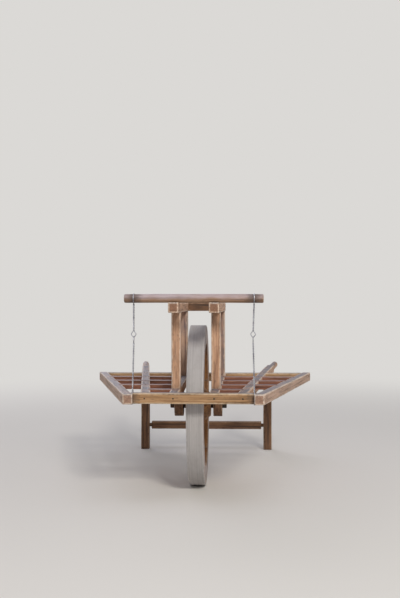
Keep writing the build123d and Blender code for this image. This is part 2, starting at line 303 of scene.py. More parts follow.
def straight(start, end, up):
    """Lays a stick from one point to another, and gives its length."""
    run = Vector(end) - Vector(start)
    axis = run.normalized()
    rise = Vector(up)
    side_axis = rise.cross(axis)

    def place(along, side, height):
        return Vector(start) + axis * along + side_axis * side + rise * height

    return place, run.length


def crosswise(begin, end, middle):
    """Lays a stick from side to side through a middle point."""
    return straight((begin, middle.y, middle.z), (end, middle.y, middle.z), UP)


def facing_up(local, outward):
    """Share of the sky that a face looks at; it is painted grey, partly as dust and partly as a painted
    bluish sky reflection and shade.
    """
    return max(0.0, outward.z)


def stations_along(length, keys, end_round):
    """Where a stick's section is drawn, as (along, inset); its rounded ends are set in."""
    steps = max(2, round(length / STATION_STEP))
    middle = {end_round + (length - 2 * end_round) * step / steps for step in range(1, steps)}
    middle |= {key[0] for key in keys if end_round < key[0] < length - end_round}
    stations = [(end_round * along, end_round * inset) for along, inset in END_SHAPE]
    stations += [(along, 0.0) for along in sorted(middle)]
    stations += [(length - end_round * along, end_round * inset) for along, inset in reversed(END_SHAPE)]
    return stations


def store_vectors(mesh, key, vectors):
    """Keeps one vector for each point of a mesh, under a name that materials and trees can read."""
    layer = mesh.attributes.new(key, "FLOAT_VECTOR", "POINT")
    layer.data.foreach_set("vector", [number for vector in vectors for number in vector])


def timber(name, laid, keys, skew=(0.0, 0.0), flat_points=3, end_round=0.5, weather_and_light=facing_up):
    """A stick with worn arrises and ends; keys are (along, half width, half height, roundness)."""
    place, length = laid
    lot = sum(name.encode()) * LOT_STEP % 1
    stations = stations_along(length, keys, end_round)
    points, faces = [], []
    values = {"grain": [], "wear": [], "soil": []}

    def add_point(point, grain, wear):
        points.append(point)
        values["grain"].append(grain)
        values["wear"].append(wear)
        values["soil"].append(soil(point))

    for along, inset in stations:
        half_width, half_height, roundness = between(keys, along)
        half_width -= inset
        half_height -= inset
        radii = worn_arrises(along, lot, half_width, half_height)
        end_distance = min(along, length - along)
        share = along / length
        for side, up, angle, edge in cross_section(half_width, half_height, radii, roundness, flat_points):
            shift = side * (skew[0] * (1 - share) + skew[1] * share)
            point = place(along + shift, side, up)
            local = (math.cos(angle), math.sin(angle))
            outward = place(along + shift, side + local[0], up + local[1]) - point
            # the last value is the share painted grey: dust or weather, and painted sky reflection, shade or
            # light patches
            wear = (min(edge, end_distance), end_distance, weather_and_light(local, outward))
            add_point(point + unevenness(point, lot), (along, side, up), wear)

    ring = len(points) // len(stations)
    last = (len(stations) - 1) * ring
    for near in range(0, last, ring):
        far = near + ring
        for index in range(ring):
            following = (index + 1) % ring
            faces.append((near + index, near + following, far + following, far + index))

    # each end is closed by a ring half way in and a middle point, with the end grain on it
    for first, along, outwards in ((0, 0.0, False), (last, length, True)):
        outline = range(first, first + ring)
        centre = sum((points[index] for index in outline), Vector()) / ring
        depth = min(between(keys, along)[:2])
        inner = len(points)
        for index in outline:
            _, side, up = values["grain"][index]
            add_point(points[index].lerp(centre, 0.5), (along, side / 2, up / 2), (depth / 2, END_GRAIN, 0.0))
        middle = len(points)
        add_point(centre, (along, 0.0, 0.0), (depth, END_GRAIN, 0.0))
        for index in range(ring):
            following = (index + 1) % ring
            quad = (first + index, first + following, inner + following, inner + index)
            fan = (inner + index, inner + following, middle)
            for face in (quad, fan):
                faces.append(face if outwards else face[::-1])

    mesh = bpy.data.meshes.new(name)
    mesh.from_pydata([point * MM for point in points], [], faces)
    for key in ("grain", "wear"):
        store_vectors(mesh, key, values[key])
    for key, numbers in (("soil", values["soil"]), ("lot", [lot] * len(points))):
        mesh.attributes.new(key, "FLOAT", "POINT").data.foreach_set("value", numbers)
    mesh.shade_smooth()
    return put_in_scene(name, mesh)


def fit(piece, material, body, slot, *nodes):
    """Finishes a piece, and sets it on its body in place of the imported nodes."""
    piece.data.materials.clear()
    piece.data.materials.append(material)
    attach(piece, body)
    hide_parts(*nodes)


def sawn_wood(name, tones, shares, grain_run=34.0, grain_width=1.0, band_width=3.2):
    """Hand-sawn wood: streaks along the grain, blotches, pale arrises, grey on sky sides as dust and painted
    sky reflection and shade, and open end grain.
    """
    material = bpy.data.materials.new(name)
    tree = empty_tree(material)
    stored = {key: add_node(tree, "ShaderNodeAttribute", attribute_name=key) for key in STORED}
    grain, wear = stored["grain"]["Vector"], stored["wear"]["Vector"]
    lot, soiled = stored["lot"]["Fac"], stored["soil"]["Fac"]
    shift = add_node(tree, "ShaderNodeVectorMath", {0: LOT_SHIFT, "Scale": lot}, operation="SCALE")[0]
    placed = add_node(tree, "ShaderNodeVectorMath", {0: grain, 1: shift}, operation="ADD")[0]

    # the fibres are drawn coarse enough to show
    patterns = {
        # size along the grain in millimetres, size across it, detail
        "band": (grain_run * 1.6, band_width, 3.0),
        "fibre": (grain_run, grain_width, 4.0),
        "pore": (grain_run / 4, grain_width / 4, 2.0),
        "blotch": (16.0, 9.0, 3.0),
        "rub": (2.6, 1.4, 2.0),
    }
    drawn = {}
    for key, (run, width, detail) in patterns.items():
        size = (1 / run, 1 / width, 1 / width)
        scaled = add_node(tree, "ShaderNodeVectorMath", {0: placed, 1: size}, operation="MULTIPLY")[0]
        texture = {"Vector": scaled, "Scale": 1.0, "Detail": detail, "Roughness": 0.6, "Distortion": 0.25}
        drawn[key] = add_node(tree, "ShaderNodeTexNoise", texture)[0]
    arris, end_distance, sky = add_node(tree, "ShaderNodeSeparateXYZ", {0: wear})

    # each sum takes a distance or share and roughens it with a pattern
    sums = {
        # first, its share, second, its share
        "streak": (drawn["fibre"], 0.55, drawn["band"], 0.45),
        "rubbed": (arris, 1.0, drawn["rub"], 1.3),
        "ends": (end_distance, 1.0, drawn["blotch"], 12.0),
        # greyed: faces that look up, grey partly as dust and partly as a painted sky reflection and shade
        "greyed": (sky, 0.6, drawn["blotch"], 0.8),
        "soiled": (soiled, 1.0, drawn["rub"], 0.5),
        "end_spots": (end_distance, -0.5, drawn["rub"], 1.0),
    }
    mixed = {}
    for key, (first, first_share, second, second_share) in sums.items():
        scaled = add_node(tree, "ShaderNodeMath", {0: first, 1: first_share}, operation="MULTIPLY")[0]
        added = {0: second, 1: second_share, 2: scaled}
        mixed[key] = add_node(tree, "ShaderNodeMath", added, operation="MULTIPLY_ADD")[0]

    layers = (
        # tone, pattern it follows, where it starts, where it is full, share
        ("mid", mixed["streak"], 0.36, 0.50, 1.0),
        ("light", mixed["streak"], 0.50, 0.66, 0.9),
        ("stain", drawn["blotch"], 0.54, 0.72, shares["stain"]),
        ("stain", drawn["rub"], 0.58, 0.72, shares["stain"]),
        ("stain", mixed["ends"], 8.5, 4.5, shares["ends"]),
        # grey: dust, with a painted bluish sky reflection and painted shade on faces that look up
        ("grey", mixed["greyed"], 0.62, 1.05, shares["grey"]),
        ("worn", mixed["rubbed"], 1.12, 0.55, shares["worn"]),
        ("end", end_distance, -0.22, -0.55, 0.9),
        ("deep", mixed["end_spots"], 0.96, 1.14, 0.75),
        ("stain", mixed["soiled"], 0.45, 0.95, 0.8),
    )
    colour = linear(tones["deep"])
    for tone, follows, begins, full, share in layers:
        reach = {"Value": follows, "From Min": begins, "From Max": full, "To Max": share}
        mask = add_node(tree, "ShaderNodeMapRange", reach)[0]
        blend = {0: mask, 6: colour, 7: linear(tones[tone])}
        colour = add_node(tree, "ShaderNodeMix", blend, data_type="RGBA")[2]
    for key in ("fibre", "pore"):
        reach = {"Value": drawn[key], "From Min": 0.34, "From Max": 0.46, "To Min": shares["pore"]}
        shaded = {0: colour, "Scale": add_node(tree, "ShaderNodeMapRange", reach)[0]}
        colour = add_node(tree, "ShaderNodeVectorMath", shaded, operation="SCALE")[0]

    sheen = {"Value": drawn["band"], "From Min": 0.3, "From Max": 0.7, "To Min": 0.52, "To Max": 0.74}
    roughness = add_node(tree, "ShaderNodeMapRange", sheen)[0]
    relief = {"Height": drawn["fibre"], "Strength": 0.7, "Distance": 0.25 * MM}
    bump = add_node(tree, "ShaderNodeBump", relief)[0]
    surface = {"Base Color": colour, "Roughness": roughness, "Normal": bump, "IOR": 1.45}
    shader = add_node(tree, "ShaderNodeBsdfPrincipled", surface)
    add_node(tree, "ShaderNodeOutputMaterial", {"Surface": shader[0]})
    return material


def bar_line(node, front_half, back_half):
    """Front and back of a spread bar's centre line, from its packed box, and how much it spreads."""
    low, high = box_mm(node)
    middle = (low.z + high.z) / 2
    if node.endswith("left"):
        front_x, back_x = high.x - front_half, low.x + back_half
    else:
        front_x, back_x = low.x + front_half, high.x - back_half
    spread = (back_x - front_x) / (high.y - low.y)
    return Vector((front_x, low.y, middle)), Vector((back_x, high.y, middle)), spread


# pine, hand-sawn and oiled: the eye gets tan streaks, dull satin, and pale bare wood on the arrises; its grey
# on top faces is partly a painted bluish sky reflection and shade
pine = sawn_wood(
    "oiled_pine",
    {"deep": "#90674e", "mid": "#c3997b", "light": "#d9b69b", "worn": "#e0ccb9", "stain": "#655249",
     "grey": "#63646f", "end": "#835e48"},
    {"stain": 0.45, "ends": 0.45, "grey": 0.9, "worn": 0.8, "pore": 0.64},
)
# pine without oil: paler and pinker, its end grain too
pale_pine = sawn_wood(
    "pale_pine",
    {"deep": "#8d6b55", "mid": "#b99883", "light": "#cdb19e", "worn": "#e2d0bf", "stain": "#6c5b52",
     "grey": "#7b7881", "end": "#a17f6b"},
    {"stain": 0.4, "ends": 0.35, "grey": 0.9, "worn": 0.8, "pore": 0.68},
)
# pine darkened by age: yellow-brown streaks
ochre_pine = sawn_wood(
    "ochre_pine",
    {"deep": "#775636", "mid": "#a9835c", "light": "#c2a27e", "worn": "#cfbba1", "stain": "#57473d",
     "grey": "#7a7880", "end": "#9a7152"},
    {"stain": 0.45, "ends": 0.45, "grey": 0.9, "worn": 0.8, "pore": 0.64},
)

half_bar = BAR_WIDTH / 2
half_rise = BAR_HEIGHT / 2
half_grip = GRIP_DIAMETER / 2
for side in SIDES:
    for part, wood in (("inner_rail", pine), ("outer_rail", pale_pine)):
        node = f"{part}_{side}"
        begin, finish, spread = bar_line(node, half_bar, half_bar)
        laid = straight(begin, finish, UP)
        keys = one_section(laid, half_bar, half_rise)
        rail = timber(f"{node}_stick", laid, keys, skew=(-spread, -spread))
        fit(rail, wood, "frame", "frame_wood", node)

    node = f"shaft_{side}"
    begin, finish, spread = bar_line(node, half_bar, half_grip)
    laid = straight(begin, finish, UP)
    grip_start = laid[1] - GRIP_LENGTH
    keys = (
        # along, half width, half height, roundness
        (0.0, half_bar, half_rise, 0.0),
        (grip_start - GRIP_SHOULDER, half_bar, half_rise, 0.0),
        (grip_start - GRIP_SHOULDER / 2, half_bar, half_bar, 0.6),
        (grip_start, half_grip, half_grip, 1.0),
        (laid[1], half_grip, half_grip, 1.0),
    )
    shaft = timber(f"{node}_stick", laid, keys, skew=(-spread, 0.0), end_round=0.9)
    fit(shaft, pine, "frame", "frame_wood", node)

splay = bar_line("outer_rail_right", half_bar, half_bar)[2]
for node, lift in (("front_cross_bar", 0.0), ("rear_cross_bar", LAP_STEP)):
    low, high = box_mm(node)
    depth = high.y - low.y
    reach = high.x - splay * depth / 2
    laid = crosswise(-reach, reach, (low + high) / 2 + Vector(UP) * lift)
    bar = timber(f"{node}_stick", laid, one_section(laid, depth / 2, half_rise), skew=(-splay, splay))
    fit(bar, ochre_pine, "frame", "frame_wood", node)

# Deck slats: four laths on each side, from the rail beside the wheel out to the outer rail.
# Reddish hardwood, darker than the frame, let into the tops of the rails and shafts; the front pair is short.
SLATS_PER_SIDE = 4
SLAT_WIDTH = 7.5
SLAT_THICKNESS = 3.0
SLAT_ARRIS = 0.4
SLAT_STEP = 1.5
SLAT_WANDER = 0.18
SLAT_WAVES_PER_METRE = 90.0
SLAT_PROUD = 0.1
SLAT_SEED = 4


def geometry_tree(name, inputs):
    """Empty geometry tree with inputs named by kind; gives the tree and its input and output sockets."""
    tree = bpy.data.node_groups.new(name, "GeometryNodeTree")
    tree.interface.new_socket("Geometry", in_out="OUTPUT", socket_type="NodeSocketGeometry")
    for kind, names in {"Geometry": ("Geometry",), **inputs, "Material": ("Material",)}.items():
        for socket_name in names:
            tree.interface.new_socket(socket_name, in_out="INPUT", socket_type=f"NodeSocket{kind}")
    return tree, tree.nodes.new("NodeGroupInput").outputs, tree.nodes.new("NodeGroupOutput").inputs


def end_tree(tree, given, made, geometry):
    """Ends a tree in plain geometry with its material, because the export drops instances."""
    geometry = add_node(tree, "GeometryNodeRealizeInstances", {"Geometry": geometry})[0]
    dressed = {"Geometry": geometry, "Material": given["Material"]}
    geometry = add_node(tree, "GeometryNodeSetMaterial", dressed)[0]
    tree.links.new(geometry, made[0])


def grow(name, tree, sizes, points, edges=(), vectors=None):
    """Runs a tree on points and edges given in millimetres, and keeps what it makes as a plain mesh."""
    start_mesh = bpy.data.meshes.new(f"{name}_start")
    start_mesh.from_pydata([Vector(point) * MM for point in points], edges, [])
    for key, values in (vectors or {}).items():
        store_vectors(start_mesh, key, values)
    start = put_in_scene(f"{name}_start", start_mesh)
    modifier = start.modifiers.new(tree.name, "NODES")
    modifier.node_group = tree
    for item in tree.interface.items_tree:
        if item.in_out == "INPUT" and item.name in sizes:
            modifier[item.identifier] = sizes[item.name]
    depsgraph = bpy.context.evaluated_depsgraph_get()
    mesh = bpy.data.meshes.new_from_object(start.evaluated_get(depsgraph))
    start.modifiers.remove(modifier)
    bpy.data.objects.remove(start)
    return put_in_scene(name, mesh)


# stained hardwood: red-brown streaks, little wear, dull
stained = sawn_wood(
    "stained_hardwood",
    {"deep": "#4f2f22", "mid": "#80503d", "light": "#98674f", "worn": "#ad8f7c", "stain": "#422c23",
     "grey": "#8a7f84", "end": "#6f4634"},
    {"stain": 0.4, "ends": 0.0, "grey": 0.55, "worn": 0.55, "pore": 0.7},
)

slat_inputs = {"Float": ("Width", "Thickness", "Arris", "Step", "Wander"), "Int": ("Seed",)}
tree, given, made = geometry_tree("deck_slats", slat_inputs)
line = add_node(tree, "GeometryNodeMeshToCurve", {"Mesh": given["Geometry"]})[0]
stepped = {"Curve": line, "Length": given["Step"]}
line = add_node(tree, "GeometryNodeResampleCurve", stepped, mode="LENGTH")[0]
line = add_node(tree, "GeometryNodeSetCurveNormal", {"Curve": line}, mode="Z_UP")[0]
lot = add_node(tree, "FunctionNodeRandomValue", {"Seed": given["Seed"]}, data_type="FLOAT")[1]
line = add_node(
    tree, "GeometryNodeStoreNamedAttribute", {"Geometry": line, "Name": "lot", "Value": lot},
    data_type="FLOAT", domain="CURVE",
)[0]
lath = {"Width": given["Width"], "Height": given["Thickness"]}
outline = add_node(tree, "GeometryNodeCurvePrimitiveQuadrilateral", lath)[0]
rubbed = {"Curve": outline, "Radius": given["Arris"], "Count": 2}
outline = add_node(tree, "GeometryNodeFilletCurve", rubbed, mode="POLY")[0]
outline = add_node(tree, "GeometryNodeSubdivideCurve", {"Curve": outline, "Cuts": 3})[0]
place = add_node(tree, "GeometryNodeInputPosition")[0]
outline = add_node(
    tree, "GeometryNodeStoreNamedAttribute", {"Geometry": outline, "Name": "across", "Value": place},
    data_type="FLOAT_VECTOR", domain="POINT",
)[0]
swept = {"Curve": line, "Profile Curve": outline, "Fill Caps": True}
slats = add_node(tree, "GeometryNodeCurveToMesh", swept)[0]

# grain runs along each slat; wear keeps the distance to the nearest arris, and how much a face looks up,
# which is painted grey as dust and as sky reflection and shade
across = add_node(tree, "GeometryNodeInputNamedAttribute", {"Name": "across"}, data_type="FLOAT_VECTOR")
in_mm = []
for metres in (place, across[0]):
    scaled = add_node(tree, "ShaderNodeVectorMath", {0: metres, "Scale": 1 / MM}, operation="SCALE")[0]
    in_mm.append(add_node(tree, "ShaderNodeSeparateXYZ", {0: scaled}))
split_along, split_across = in_mm
directions = {0: split_along[0], 1: split_across[0], 2: split_across[1]}
grain = add_node(tree, "ShaderNodeCombineXYZ", directions)[0]
edge = 0.0
for axis, half in ((0, SLAT_WIDTH / 2), (1, SLAT_THICKNESS / 2)):
    out = add_node(tree, "ShaderNodeMath", {0: split_across[axis]}, operation="ABSOLUTE")[0]
    depth = add_node(tree, "ShaderNodeMath", {0: half, 1: out}, operation="SUBTRACT")[0]
    edge = add_node(tree, "ShaderNodeMath", {0: edge, 1: depth}, operation="MAXIMUM")[0]
normal = add_node(tree, "GeometryNodeInputNormal")[0]
sky = add_node(tree, "ShaderNodeSeparateXYZ", {0: normal})[2]
wear = add_node(tree, "ShaderNodeCombineXYZ", {0: edge, 1: SLAT_WIDTH, 2: sky})[0]
for key, value in (("grain", grain), ("wear", wear)):
    slats = add_node(
        tree, "GeometryNodeStoreNamedAttribute", {"Geometry": slats, "Name": key, "Value": value},
        data_type="FLOAT_VECTOR", domain="POINT",
    )[0]
waves = {"Vector": place, "Scale": SLAT_WAVES_PER_METRE, "Detail": 1.0}
wave = add_node(tree, "ShaderNodeTexNoise", waves)["Color"]
wave = add_node(tree, "ShaderNodeVectorMath", {0: wave, 1: (0.5, 0.5, 0.5)}, operation="SUBTRACT")[0]
strayed = {0: wave, "Scale": given["Wander"]}
wave = add_node(tree, "ShaderNodeVectorMath", strayed, operation="SCALE")[0]
slats = add_node(tree, "GeometryNodeSetPosition", {"Geometry": slats, "Offset": wave})[0]
slats = add_node(tree, "GeometryNodeSetShadeSmooth", {"Geometry": slats})[0]
end_tree(tree, given, made, slats)

slat_numbers = range(1, SLATS_PER_SIDE + 1)
slat_nodes = [f"slat_{number}_{side}" for number in slat_numbers for side in SIDES]
slat_ends = []
for node in slat_nodes:
    low, high = box_mm(node)
    middle = ((low.y + high.y) / 2, (low.z + high.z) / 2 + SLAT_PROUD)
    slat_ends += [(low.x, *middle), (high.x, *middle)]
sizes = {
    "Width": SLAT_WIDTH * MM, "Thickness": SLAT_THICKNESS * MM, "Arris": SLAT_ARRIS * MM,
    "Step": SLAT_STEP * MM, "Wander": SLAT_WANDER * MM, "Seed": SLAT_SEED, "Material": stained,
}
slat_lines = [(first, first + 1) for first in range(0, len(slat_ends), 2)]
deck_slats = grow("deck_slats", tree, sizes, slat_ends, slat_lines)
fit(deck_slats, stained, "frame", "dark_wood", *slat_nodes)

# Stand: two square legs tenoned up into the shafts, and a stretcher between them on thin round tenons.
# Dark brown wood, its darkness painted shade; the stretcher's shoulders stop short of the legs.
BACK = (0.0, 1.0, 0.0)
STRETCHER_TENON = 3.0
TENON_SEAT = 1.0
SHOULDER_GAP = 1.9
SHOULDER_STEP = 0.03
SHOULDER_WEAR = 0.3
SHOULDER_WEAR_RUN = 0.35


def upright(node, foot, head):
    """Lays a stick between two heights in the middle of its packed box, and gives its half sizes."""
    low, high = box_mm(node)
    half_x, half_y = (high.x - low.x) / 2, (high.y - low.y) / 2
    middle = (low.x + half_x, low.y + half_y)
    return straight((*middle, foot), (*middle, head), BACK), half_x, half_y


# dark hardwood: dark brown streaks, dull, with little bare wood on the arrises; darker than the frame's pine
# as painted shade
shade_darkened_wood = sawn_wood(
    "shade_darkened_hardwood",
    {"deep": "#402a1b", "mid": "#6f4e36", "light": "#8d6748", "worn": "#a68a70", "stain": "#38281d",
     "grey": "#776c66", "end": "#66472f"},
    {"stain": 0.5, "ends": 0.35, "grey": 0.45, "worn": 0.5, "pore": 0.7},
)
for side in SIDES:
    node = f"leg_{side}"
    laid, half_x, half_y = upright(node, box_mm(node)[0].z, box_mm(f"shaft_{side}")[0].z)
    leg = timber(f"{node}_stick", laid, one_section(laid, half_x, half_y))
    fit(leg, shade_darkened_wood, "frame", "dark_wood", node)

low, high = box_mm("leg_stretcher")
half = (high - low) / 2
tip = box_mm("leg_right")[0].x + TENON_SEAT
laid = crosswise(-tip, tip, low + half)
tenon_length = SHOULDER_GAP + TENON_SEAT
pin = STRETCHER_TENON / 2
end_keys = (
    # along, half width, half height, roundness
    (0.0, pin, pin, 1.0),
    (tenon_length, pin, pin, 1.0),
    (tenon_length + SHOULDER_STEP, half.y - SHOULDER_WEAR, half.z - SHOULDER_WEAR, 0.0),
    (tenon_length + SHOULDER_WEAR_RUN, half.y, half.z, 0.0),
)
keys = end_keys + tuple((laid[1] - along, *rest) for along, *rest in reversed(end_keys))
stretcher = timber("leg_stretcher_stick", laid, keys)
fit(stretcher, shade_darkened_wood, "frame", "dark_wood", "leg_stretcher")

# Axle and its hangers: a blackened iron pin in two round-ended cheeks, tenoned under the inner rails.
# The pin stays still and the hub turns on it.
CHEEK_TIP = 0.25
CHEEK_RISES = (0.15, 0.5, 1.0, 1.8, 3.0, 4.8)
RUST_CLOUD = 2.5

for side in SIDES:
    node = f"axle_hanger_{side}"
    laid, half_x, half_y = upright(node, box_mm(node)[0].z, box_mm(f"inner_rail_{side}")[0].z)
    keys = [(0.0, half_x, CHEEK_TIP * half_y, 0.0)]
    for rise in (*CHEEK_RISES, half_y):
        keys.append((rise, half_x, math.sqrt(rise * (2 * half_y - rise)), 0.0))
    keys.append((laid[1], half_x, half_y, 0.0))
    hanger = timber(f"{node}_cheek", laid, keys, end_round=0.1)
    fit(hanger, shade_darkened_wood, "frame", "dark_wood", node)

# iron: forged and blackened, dull dark grey with rust-brown cloudiness
iron = bpy.data.materials.new("blackened_iron")
tree = empty_tree(iron)
where = add_node(tree, "ShaderNodeTexCoord")["Object"]
clouds = {"Vector": where, "Scale": 1 / (RUST_CLOUD * MM), "Detail": 4.0}
cloud = add_node(tree, "ShaderNodeTexNoise", clouds)[0]
rusty = add_node(tree, "ShaderNodeMapRange", {"Value": cloud, "From Min": 0.45, "From Max": 0.75})[0]
tints = {0: rusty, 6: linear("#3a3633"), 7: linear("#5a4030")}
tint = add_node(tree, "ShaderNodeMix", tints, data_type="RGBA")[2]
dull = add_node(tree, "ShaderNodeMapRange", {"Value": cloud, "To Min": 0.4, "To Max": 0.75})[0]
relief = add_node(tree, "ShaderNodeBump", {"Height": cloud, "Strength": 0.4, "Distance": 0.1 * MM})[0]
surface = {"Base Color": tint, "Roughness": dull, "Normal": relief, "Metallic": 0.85}
shader = add_node(tree, "ShaderNodeBsdfPrincipled", surface)
add_node(tree, "ShaderNodeOutputMaterial", {"Surface": shader[0]})

low, high = box_mm("axle")
wheel_middle = (low + high) / 2
axle_half = (high.z - low.z) / 2
laid = crosswise(low.x, high.x, wheel_middle)
axle = timber("axle_pin", laid, one_section(laid, axle_half, axle_half, 1.0), flat_points=5)
fit(axle, iron, "frame", "axle_steel", "axle")

# Hub: turned from one block of the wheel's tan wood, straight where the spokes go in, tapered to both ends.
# Two fine grooves beside the spokes are the turner's marks.
HUB_GROOVE = 0.35


def unweathered(local, outward):
    """Wood of the turning wheel has no sky side."""
    return 0.0


# ash of the wheel: warm tan streaks, and grey dust where the weather reaches it
wheel_tan = sawn_wood(
    "wheel_ash",
    {"deep": "#6e4a2d", "mid": "#96693f", "light": "#ae8052", "worn": "#b9a08a", "stain": "#4d3828",
     "grey": "#aaa1a0", "end": "#8a5f3e"},
    {"stain": 0.45, "ends": 0.3, "grey": 0.95, "worn": 0.6, "pore": 0.68},
)
low, high = box_mm("hub")
hub_half = (high.z - low.z) / 2
laid = crosswise(low.x, high.x, wheel_middle)
hub_profile = (
    # share of the length, share of the radius
    (0.0, 0.72), (0.06, 0.76), (0.16, 0.90), (0.22, 0.97), (0.26, 1.0),
    (0.30, 1.0), (0.315, 1.0 - HUB_GROOVE / hub_half), (0.33, 1.0), (0.5, 1.0),
)
hub_profile += tuple((1 - along, radius) for along, radius in reversed(hub_profile[:-1]))
keys = [(along * laid[1], radius * hub_half, radius * hub_half, 1.0) for along, radius in hub_profile]
hub = timber("hub_block", laid, keys, flat_points=9, weather_and_light=unweathered)
fit(hub, wheel_tan, "wheel", "wheel_wood", "hub")

# Spokes and felloes: ten square spokes tenoned into hub and rim, and five sawn felloes that make the rim.
# Sawn from plank, tan inside the wheel, greyed on the outside by dust; a saw cut shows between felloes.
SPOKE_THICKNESS = 5.0
SPOKE_WIDTH = 6.0
SPOKE_COUNT = 10
SPOKE_SEAT = 0.4
FELLOE_COUNT = 5
FELLOE_DEPTH = 11.3
SAW_CUT = 0.35


def bent(radius, start_turn, end_turn):
    """Lays a stick round the axle between two turns from the top, and gives its length."""

    def place(along, side, height):
        turn = start_turn + along / radius
        reach = radius + height
        return Vector((-side, reach * math.sin(turn), reach * math.cos(turn)))

    return place, radius * (end_turn - start_turn)


def dusty_outside(local, outward):
    """The rim is grey all round, but for its face towards the hub."""
    return 0.0 if local[1] < -0.5 else 1.0


ring_inputs = {"Object": ("Piece",), "Int": ("Count", "Seed"), "Float": ("First Turn",)}
tree, given, made = geometry_tree("round_the_axle", ring_inputs)
one = add_node(tree, "GeometryNodeObjectInfo", {"Object": given["Piece"]})["Geometry"]
repeated = {"Geometry": given["Geometry"], "Amount": given["Count"]}
places, copy_number = add_node(tree, "GeometryNodeDuplicateElements", repeated, domain="POINT")
step = add_node(tree, "ShaderNodeMath", {0: 2 * math.pi, 1: given["Count"]}, operation="DIVIDE")[0]
turns = {0: copy_number, 1: step, 2: given["First Turn"]}
turn = add_node(tree, "ShaderNodeMath", turns, operation="MULTIPLY_ADD")[0]
rotation = add_node(tree, "ShaderNodeCombineXYZ", {0: turn})[0]
spread_round = {"Points": places, "Instance": one, "Rotation": rotation}
copies = add_node(tree, "GeometryNodeInstanceOnPoints", spread_round)[0]
lot = add_node(tree, "FunctionNodeRandomValue", {"Seed": given["Seed"]}, data_type="FLOAT")[1]
copies = add_node(
    tree, "GeometryNodeStoreNamedAttribute", {"Geometry": copies, "Name": "lot", "Value": lot},
    data_type="FLOAT", domain="INSTANCE",
)[0]
end_tree(tree, given, made, copies)

low, high = box_mm("felloes")
rim_half_width = (high.x - low.x) / 2
felloe_outer = (high.z - low.z) / 2
felloe_middle = felloe_outer - FELLOE_DEPTH / 2
gap_turn = SAW_CUT / 2 / felloe_middle
laid = bent(felloe_middle, gap_turn, 2 * math.pi / FELLOE_COUNT - gap_turn)
keys = one_section(laid, rim_half_width, FELLOE_DEPTH / 2)
one_felloe = timber("one_felloe", laid, keys, end_round=0.3, weather_and_light=dusty_outside)
felloe_inner = felloe_outer - FELLOE_DEPTH
laid = straight((0.0, 0.0, hub_half - SPOKE_SEAT), (0.0, 0.0, felloe_inner + SPOKE_SEAT), BACK)
keys = one_section(laid, SPOKE_THICKNESS / 2, SPOKE_WIDTH / 2)
one_spoke = timber("one_spoke", laid, keys, weather_and_light=unweathered)
wheel_rows = (
    # node, piece, count, first turn, seed
    ("felloes", one_felloe, FELLOE_COUNT, 0.0, 7),
    ("spokes", one_spoke, SPOKE_COUNT, math.pi / SPOKE_COUNT, 9),
)
for node, piece, count, first_turn, seed in wheel_rows:
    piece.data.attributes.remove(piece.data.attributes["lot"])
    sizes = {"Piece": piece, "Count": count, "First Turn": first_turn, "Seed": seed, "Material": wheel_tan}
    ring = grow(f"{node}_ring", tree, sizes, [wheel_middle])
    bpy.data.objects.remove(piece)
    fit(ring, wheel_tan, "wheel", "wheel_wood", node)

# Tread band: one thin strip of wood bent round the rim, its ends butted.
# Worn to a smooth light grey, with fine streaks along the strip.
BUTT_GAP = 0.15

# bent ash: cool light grey and nearly even, with fine long streaks
grey_band = sawn_wood(
    "grey_bent_ash",
    {"deep": "#94908f", "mid": "#a8a4a3", "light": "#b5b1b0", "worn": "#c1bdbc", "stain": "#8b8583",
     "grey": "#b0adad", "end": "#8f8680"},
    {"stain": 0.4, "ends": 0.2, "grey": 0.3, "worn": 0.6, "pore": 0.93},
    grain_run=60.0, grain_width=0.8,
)
low, high = box_mm("tread_band")
tread_outer = (high.z - low.z) / 2
band_depth = tread_outer - felloe_outer
band_middle = tread_outer - band_depth / 2
half_gap = BUTT_GAP / 2 / band_middle
round_the_axle, band_length = bent(band_middle, math.pi + half_gap, 3 * math.pi - half_gap)


def round_the_wheel(along, side, height):
    """The bent strip in its place on the axle."""
    return wheel_middle + round_the_axle(along, side, height)


laid = (round_the_wheel, band_length)
keys = one_section(laid, (high.x - low.x) / 2, band_depth / 2)
tread = timber("tread_strip", laid, keys, end_round=0.1, weather_and_light=dusty_outside)
fit(tread, grey_band, "wheel", "tread_wood", "tread_band")

# Guard over the wheel: four posts tenoned into the rails, two upper rails on top, and a tie bar behind.
# The same oiled pine as the deck, with grey patches of painted cool light on the rear posts, and a dark tie
# bar.
# The upper rails' end grain shows at the front.
# share of grey on the rear posts, painted in for patches of cool light
PAINTED_LIGHT_PATCHES = 0.72


def painted_light_patches(local, outward):
    """Grey patches all round, painted in for patches of cool light."""
    return PAINTED_LIGHT_PATCHES


for side in SIDES:
    for part, weather_and_light in (("front_post", facing_up), ("rear_post", painted_light_patches)):
        node = f"{part}_{side}"
        foot, head = box_mm(f"inner_rail_{side}")[1].z, box_mm(f"upper_rail_{side}")[0].z
        laid, half_x, half_y = upright(node, foot, head)
        keys = one_section(laid, half_x, half_y)
        post = timber(f"{node}_stick", laid, keys, end_round=0.2, weather_and_light=weather_and_light)
        fit(post, pine, "frame", "frame_wood", node)

    node = f"upper_rail_{side}"
    low, high = box_mm(node)
    half_z = (high.z - low.z) / 2
    begin, finish, spread = bar_line(node, half_z, half_z)
    laid = straight(begin, finish, UP)
    rail = timber(f"{node}_stick", laid, one_section(laid, half_z, half_z))
    fit(rail, pine, "frame", "frame_wood", node)

low, high = box_mm("upper_tie_bar")
half = (high - low) / 2
laid = crosswise(low.x, high.x, low + half)
tie_bar = timber("upper_tie_bar_stick", laid, one_section(laid, half.y, half.z), end_round=0.2)
fit(tie_bar, shade_darkened_wood, "frame", "frame_wood", "upper_tie_bar")

